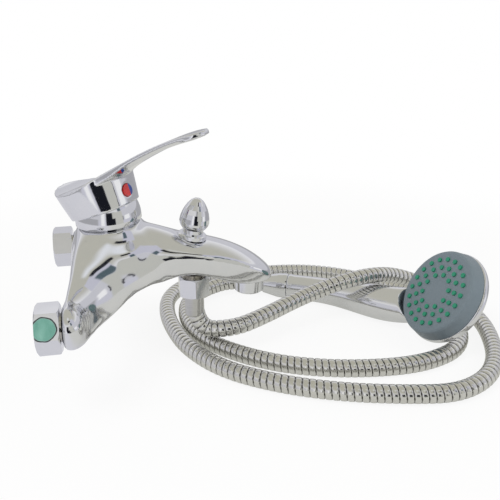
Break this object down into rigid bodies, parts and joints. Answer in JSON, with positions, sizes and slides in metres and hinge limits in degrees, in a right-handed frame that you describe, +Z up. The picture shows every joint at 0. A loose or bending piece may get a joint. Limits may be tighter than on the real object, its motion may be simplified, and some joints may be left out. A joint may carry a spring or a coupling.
{
  "type": "wall-mounted bath mixer",
  "caption": "Single-lever wall bath mixer with a pull-up diverter, metal shower hose and round multi-jet handset",
  "frame": {"origin": "midway between the two inlets, in the plane of the union nut mouths", "axes": "+X away from the wall, +Y along the two inlets, +Z up"},
  "size_m": [0.366, 0.2515, 0.194],
  "materials": {
    "chrome": "polished chrome plate on brass",
    "hose_steel": "interlocked stainless strip, polished",
    "ferrule_steel": "satin steel",
    "brass": "machined brass",
    "rubber": "black sealing rubber",
    "cartridge_plastic": "ivory moulded plastic",
    "ceramic": "ground ceramic",
    "steel": "machined steel",
    "index": "red and blue moulded plastic",
    "aerator_plastic": "moulded plastic",
    "face_plastic": "grey moulded plastic",
    "nozzle_rubber": "green silicone"
  },
  "bodies": {
    "tap": {"union_tail_near": "brass", "union_tail_far": "brass", "inlet_washer_near": "rubber", "inlet_washer_far": "rubber", "body_casting": "chrome", "cartridge_housing": "cartridge_plastic", "cartridge_base": "cartridge_plastic", "fixed_disc": "ceramic", "port_seals": "rubber", "cartridge_nut": "brass", "dome_cover": "chrome", "diverter_bush": "chrome", "aerator_housing": "chrome", "aerator_insert": "aerator_plastic", "aerator_gasket": "rubber", "outlet_nipple": "brass", "hose_washer": "rubber", "hose_ferrule_tap": "ferrule_steel", "shower_hose": "hose_steel", "hose_ferrule_handset": "ferrule_steel", "handset_washer": "rubber", "handset_body": "chrome", "handset_face_plate": "face_plastic", "nozzle_mat": "nozzle_rubber", "handset_seal": "rubber"},
    "lever_turner": {"cartridge_rotor": "cartridge_plastic", "stem_pin": "steel"},
    "lever": {"cartridge_stem": "brass", "lever_handle": "chrome", "lever_grub_screw": "steel", "index_plug": "index"},
    "disc_slider": {"moving_disc": "ceramic", "disc_carrier": "cartridge_plastic"},
    "diverter": {"diverter_knob": "chrome", "diverter_stem": "steel", "diverter_valve": "rubber"},
    "near_nut": {"union_nut_near": "chrome"},
    "far_nut": {"union_nut_far": "chrome"},
    "outlet_nut": {"hose_nut": "chrome"},
    "handset_nut": {"cone_nut": "chrome"}
  },
  "joints": [
    {"name": "temperature_turn", "type": "hinge", "parent": "tap", "child": "lever_turner", "pos_m": [0.049, 0, 0.05], "axis": [-0.0785, 0, 0.9969], "range_deg": [-5, 85]},
    {"name": "flow_lift", "type": "hinge", "parent": "lever_turner", "child": "lever", "pos_m": [0.049, 0, 0.05], "axis": [-0.6408, -0.766, -0.0504], "range_deg": [-15.7, 4.3]},
    {"name": "disc_slide", "type": "slide", "parent": "lever_turner", "child": "disc_slider", "axis": [0.7637, -0.6428, 0.0601], "range_m": [-0.00453, 0.00124]},
    {"name": "diverter_pull", "type": "slide", "parent": "tap", "child": "diverter", "axis": [0.1736, 0, 0.9848], "range_m": [0, 0.008]},
    {"name": "near_nut_turn", "type": "hinge", "parent": "tap", "child": "near_nut", "pos_m": [0.008, -0.075, 0], "axis": [1, 0, 0], "continuous": true},
    {"name": "far_nut_turn", "type": "hinge", "parent": "tap", "child": "far_nut", "pos_m": [0.008, 0.075, 0], "axis": [1, 0, 0], "continuous": true},
    {"name": "outlet_nut_turn", "type": "hinge", "parent": "tap", "child": "outlet_nut", "pos_m": [0.1102, 0, -0.011], "axis": [0, 0, 1], "continuous": true},
    {"name": "handset_nut_turn", "type": "hinge", "parent": "tap", "child": "handset_nut", "pos_m": [0.1883, 0.0946, -0.06], "axis": [0.9003, -0.4352, 0], "continuous": true}
  ],
  "couplings": [
    {"joint": "disc_slide", "follows": "flow_lift", "m_per_rad": 0.0165}
  ]
}
